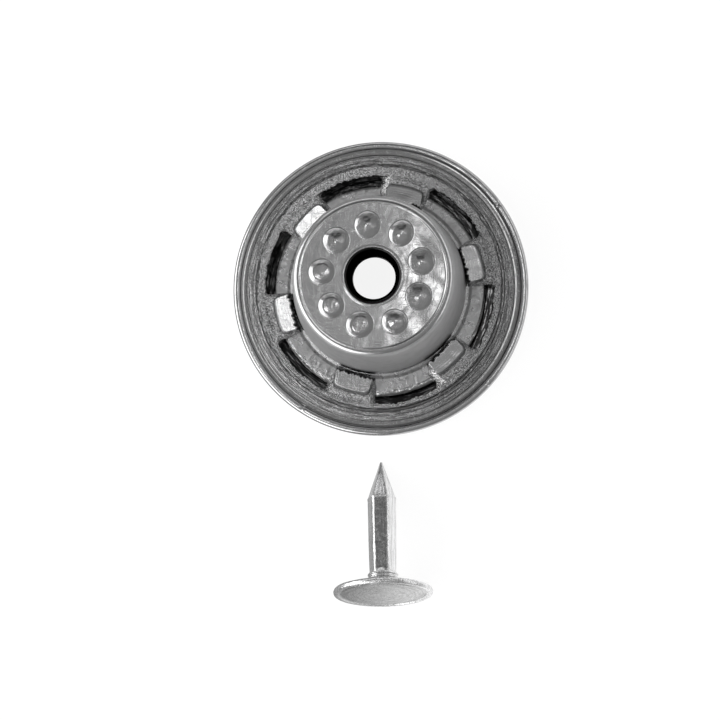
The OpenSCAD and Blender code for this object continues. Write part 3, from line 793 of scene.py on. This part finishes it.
BAND = radius_band_group()
LINES = ring_lines_group()
GRAIN = casting_grain_group()
SCRATCH = scratches_group()


def band(tree, place, zone, soft):
    """Mask that is 1 in a zone between two radii."""
    return use(tree, BAND, {"Vector": place, "Inner": zone[0], "Outer": zone[1], "Soft": soft}, "Mask")


def ring_lines(tree, place, round_scale, across):
    """Height of lines that run round the axis, by their scales round and across."""
    return use(tree, LINES, {"Vector": place, "Round": round_scale, "Across": across}, "Height")


def hair_scratches(tree, place, scale, depth):
    """Height of fine scratches and the mask of the duller places."""
    return use(tree, SCRATCH, {"Vector": place, "Scale": scale, "Depth": depth}, ("Height", "Dull"))


def cast_finish():
    """Plated casting: polished bead and front, pebbled claw ring, rough drawn lines on the step, and the
    pads of the claws pressed smooth. Dirt lies in the grain. Shade is painted in: darker in the hollow,
    at the ring's foot, along a thin groove line, outside the claws' pads and over their torn tips, and
    nearly black in the slots; the claws' steepest flanks carry a painted highlight."""
    material, tree, shader, place = metal("plated_casting")
    pressed = mask_of(tree, "pressed")
    rubbed = mask_of(tree, "rubbed")
    height = height_of(tree, place)
    back = spread(tree, height, BACK_FROM, BACK_FULL)
    ring = product(tree, band(tree, place, RING_ZONE, 0.06), back)
    step = product(tree, band(tree, place, STEP_ZONE, 0.06), back)
    hollow = product(tree, band(tree, place, HOLLOW_ZONE, 0.06), back)
    foot = product(tree, band(tree, place, FOOT_ZONE, 0.04), back)
    bead = band(tree, place, BEAD_ZONE, 0.06)
    grainy = product(tree, ring, calc(tree, "SUBTRACT", 1.0, pressed))
    grain, dirt = use(tree, GRAIN, {"Vector": place, "Size": 0.09, "Depth": 0.105}, ("Height", "Dirt"))
    lines = ring_lines(tree, place, 7.0, 15.0)
    pad_lines = ring_lines(tree, place, 6.0, 16.0)
    hair, dull = hair_scratches(tree, place, 1.6, 0.0015)
    relief(tree, shader, add_up(
        tree, product(tree, grain, grainy), product(tree, lines, step, 0.08),
        product(tree, lines, bead, 0.008), product(tree, grain, step, 0.3),
        product(tree, pad_lines, pressed, 0.0015), product(tree, pad_lines, rubbed, 0.006), hair))
    rough = add_up(
        tree, product(tree, grainy, 0.1), product(tree, step, 0.06), product(tree, dull, 0.05),
        product(tree, rubbed, 0.07), 0.12)
    tree.links.new(rough, shader.inputs["Roughness"])
    lined = calc(tree, "ADD", dirt, spread(tree, lines, 0.4, 0.6))
    broken = spread(tree, lines, 0.35, 0.55, 0.2, 0.9)
    # Painted shade: a thin broken dark line round the step, drawn as the shade of a fine groove
    groove = product(tree, band(tree, place, GROOVE_ZONE, 0.04), back, broken)
    dark = add_up(tree, product(tree, dirt, grainy), product(tree, lined, step, 0.6))
    dark = product(tree, calc(tree, "ADD", dark, groove, True), 0.8)
    # Painted shade in the slots: their floors and walls go nearly black
    gap = product(tree, band(tree, place, SLOT_ZONE, 0.03), spread(tree, height, 2.9, 3.15, 1.0, 0.0))
    gap = calc(tree, "MAXIMUM", gap, mask_of(tree, "gap"))
    gap = product(tree, gap, spread(tree, ring_lines(tree, place, 9.0, 11.0), 0.5, 0.64, 1.0, 0.6))
    # Grain dirt, and painted shade along the groove line, darken the metal; then painted shade round the
    # claws' pads, in the hollow, at the ring's foot and in the slots, and a painted highlight on the claws'
    # flanks
    colour = painted(tree, grey_mix(tree, dark, CAST_METAL, grey(CAST_DIRT_AND_SHADE)), (
        (mask_of(tree, "claw_shade"), 0.97, CLAW_SHADE_GREY), (hollow, 0.8, HOLLOW_SHADE_GREY), (foot, 0.8, RING_FOOT_SHADE_GREY),
        (mask_of(tree, "painted_gleam"), 0.9, 1.0), (gap, 1.0, SLOT_SHADE_BLACK)))
    tree.links.new(colour, shader.inputs["Base Color"])
    return material


def sheet_finish():
    """Polished pressed sheet: shallow clouding, fine scratches and a scuffed flange. The wall is duller,
    and painted shade darkens its foot, the flange's edge and the bore, whose reflections are dimmed too."""
    material, tree, shader, place = metal("polished_sheet")
    flange = band(tree, place, FLANGE_ZONE, 0.1)
    wall = band(tree, place, WALL_ZONE, 0.05)
    hair, dull = hair_scratches(tree, place, 1.9, 0.0012)
    drawn = ring_lines(tree, place, 2.5, 5.0)
    scuff = noise(tree, place, 4.5, 3.0, 0.6)
    soft = noise(tree, place, 1.1)
    relief(tree, shader, add_up(
        tree, hair, product(tree, drawn, 0.003), product(tree, soft, 0.012),
        product(tree, scuff, flange, 0.09)))
    rough = add_up(
        tree, product(tree, dull, 0.07), product(tree, flange, 0.12), product(tree, wall, 0.42), 0.15)
    tree.links.new(rough, shader.inputs["Roughness"])
    upper = spread(tree, height_of(tree, place), COLLAR_FROM, COLLAR_FULL)
    # Painted shade in the bore above the collar: nearly black
    bore = product(tree, band(tree, place, BORE_ZONE, 0.08), upper)
    # Painted shade at the foot of the wall, on the flange beside it
    corner = band(tree, place, CORNER_ZONE, 0.1)
    clouded = grey_mix(tree, product(tree, dull, 0.5), SHEET_METAL, grey(SHEET_DULL))
    # Painted shade: darker at the wall's foot and on the flange's rounded edge, nearly black in the bore
    colour = painted(tree, clouded, (
        (corner, 0.75, CORNER_SHADE_GREY), (mask_of(tree, "edge"), 0.85, EDGE_SHADE_GREY), (bore, 1.0, BORE_SHADE_BLACK)))
    tree.links.new(colour, shader.inputs["Base Color"])
    # Painted shade: the bore's reflections are dimmed as well
    tree.links.new(grey_mix(tree, bore, grey(1.0), grey(BORE_SHADE_TINT)), shader.inputs["Specular Tint"])
    return material


def tack_finish():
    """Bright drawn metal: streaks along the pin, turned rings on the flange, a few rubbed places, and a
    darker face inside the lip of the outer side."""
    material, tree, shader, place = metal("bright_tack")
    streak = noise(tree, stretched(tree, place, (7.0, 7.0, 0.5)), 1.0, 3.0, 0.6)
    grain = noise(tree, stretched(tree, place, (9.0, 9.0, 5.0)), 1.0, 3.0, 0.65)
    rub = noise(tree, place, 3.2, 3.0, 0.65)
    rings = ring_lines(tree, place, 2.0, 7.0)
    head = spread(tree, height_of(tree, place), 0.2, 0.5, 1.0, 0.0)
    relief(tree, shader, add_up(
        tree, product(tree, streak, 0.02), product(tree, rub, 0.010), product(tree, grain, 0.014),
        product(tree, rings, head, 0.04)))
    tree.links.new(spread(tree, rub, 0.35, 0.7, 0.16, 0.3), shader.inputs["Roughness"])
    face = product(tree, band(tree, place, FACE_ZONE, 0.06), head, spread(tree, rings, 0.35, 0.6, 1.0, 0.55))
    streaked = grey_mix(tree, spread(tree, streak, 0.4, 0.62), TACK_METAL, grey(TACK_STREAK))
    tree.links.new(grey_mix(tree, face, streaked, grey(TACK_FACE)), shader.inputs["Base Color"])
    return material


# Studio

def make_floor():
    """Plain white floor: a dark grey, which takes the pieces' soft shadow, under a glow of its own, which
    only the camera and reflections see."""
    mesh = bpy.data.meshes.new("floor")
    corners = [(x * FLOOR_HALF, y * FLOOR_HALF, 0) for x, y in ((-1, -1), (1, -1), (1, 1), (-1, 1))]
    mesh.from_pydata(corners, [], [(0, 1, 2, 3)])
    floor = bpy.data.objects.new("floor", mesh)
    bpy.context.scene.collection.objects.link(floor)
    floor.location.z = -FLOOR_DROP
    material = bpy.data.materials.new("floor_white")
    material.use_nodes = True
    tree = material.node_tree
    shader = tree.nodes["Principled BSDF"]
    shader.inputs["Base Color"].default_value = (*grey(FLOOR_GREY), 1)
    shader.inputs["Roughness"].default_value = 0.9
    shader.inputs["Specular IOR Level"].default_value = 0.1
    path = put(tree, "ShaderNodeLightPath").outputs
    place = put(tree, "ShaderNodeTexCoord").outputs["Object"]
    across = put(tree, "ShaderNodeSeparateXYZ", {0: place}).outputs["X"]
    away = put(tree, "ShaderNodeVectorMath", {0: place}, operation="LENGTH").outputs["Value"]
    lit = product(tree, spread(tree, across, *GLOW_ACROSS), spread(tree, away, *GLOW_AWAY))
    seen = product(tree, path["Is Camera Ray"], FLOOR_GLOW)
    seen = add_up(tree, seen, product(tree, path["Is Glossy Ray"], lit))
    glow = put(tree, "ShaderNodeEmission", {"Color": (1, 1, 1, 1), "Strength": seen})
    both = put(tree, "ShaderNodeAddShader", {0: shader.outputs[0], 1: glow.outputs[0]})
    tree.links.new(both.outputs[0], tree.nodes["Material Output"].inputs["Surface"])
    mesh.materials.append(material)


def make_world():
    """Studio round the pieces: grey, paler at the horizon and straight above, with soft bright and dark
    patches. The camera sees plain white instead."""
    world = bpy.data.worlds.new("studio")
    bpy.context.scene.world = world
    world.use_nodes = True
    tree = world.node_tree
    back = tree.nodes["Background"]
    way = put(tree, "ShaderNodeTexCoord").outputs["Generated"]
    up = height_of(tree, way)
    level = add_up(tree, spread(tree, up, 0.05, 0.5, 0.5, 0.3), spread(tree, up, 0.6, 0.97, 0.0, 0.135))

    def patch(azimuth, elevation, wide, tall, soft, strength):
        """Soft-edged rectangle round a direction of the sky, with its half width and half height in sines."""
        az, el = math.radians(azimuth), math.radians(elevation)
        ahead = (math.cos(az) * math.cos(el), math.sin(az) * math.cos(el), math.sin(el))
        side = (-math.sin(az), math.cos(az), 0)
        rise = (-math.cos(az) * math.sin(el), -math.sin(az) * math.sin(el), math.cos(el))
        dots = [put(tree, "ShaderNodeVectorMath", {0: way, 1: v}, operation="DOT_PRODUCT").outputs["Value"]
                for v in (ahead, side, rise)]
        mask = spread(tree, dots[0], 0.0, 0.1)
        for dot, half in ((dots[1], wide), (dots[2], tall)):
            inside = spread(tree, calc(tree, "ABSOLUTE", dot), half, half + soft, 1.0, 0.0)
            mask = product(tree, mask, inside)
        return product(tree, mask, strength)

    level = add_up(tree, level, *(patch(*numbers) for numbers in SKY_PATCHES))
    level = calc(tree, "MAXIMUM", level, SKY_LEAST)
    camera = put(tree, "ShaderNodeLightPath").outputs["Is Camera Ray"]
    white = spread(tree, camera, 0.0, 1.0, level, 1.0, "LINEAR")
    back.inputs["Color"].default_value = (1, 1, 1, 1)
    tree.links.new(white, back.inputs["Strength"])


def make_lamp():
    """One broad lamp from the left, for the soft shadow."""
    data = bpy.data.lights.new("soft_lamp", "AREA")
    data.energy = LAMP_POWER
    data.size = LAMP_SIZE
    lamp = bpy.data.objects.new("soft_lamp", data)
    bpy.context.scene.collection.objects.link(lamp)
    lamp.location = LAMP_AT
    aim = -lamp.location
    lamp.rotation_euler = aim.to_track_quat("-Z", "Y").to_euler()
    lamp.visible_camera = False
    lamp.visible_glossy = False


def make_camera():
    """Close above the button, a little to its right and towards the tack, as in the photograph."""
    data = bpy.data.cameras.new("camera")
    data.sensor_width = SENSOR_WIDTH
    data.lens = LENS_PIXELS / FRAME_PIXELS * SENSOR_WIDTH
    data.clip_start = 0.001
    data.clip_end = 10.0
    camera = bpy.data.objects.new("camera", data)
    bpy.context.scene.collection.objects.link(camera)
    camera.location = (BUTTON + CAMERA_AT) * MM
    way = (Vector((BUTTON + CAMERA_AIM) * MM) - camera.location).normalized()
    right = way.cross(Vector((0, 1, 0))).normalized()
    up = right.cross(way)
    camera.rotation_euler = Matrix((right, up, -way)).transposed().to_euler()
    bpy.context.scene.camera = camera


cast = cast_finish()
sheet = sheet_finish()
bright = tack_finish()
for obj, finish in ((make_cap(), cast), (make_shank(), sheet), (make_tack(), bright)):
    obj.data.materials.append(finish)
for k in range(CLAWS):
    make_claw(k).data.materials.append(cast)

make_floor()
make_world()
make_lamp()
make_camera()
bpy.context.scene.view_settings.view_transform = "Standard"
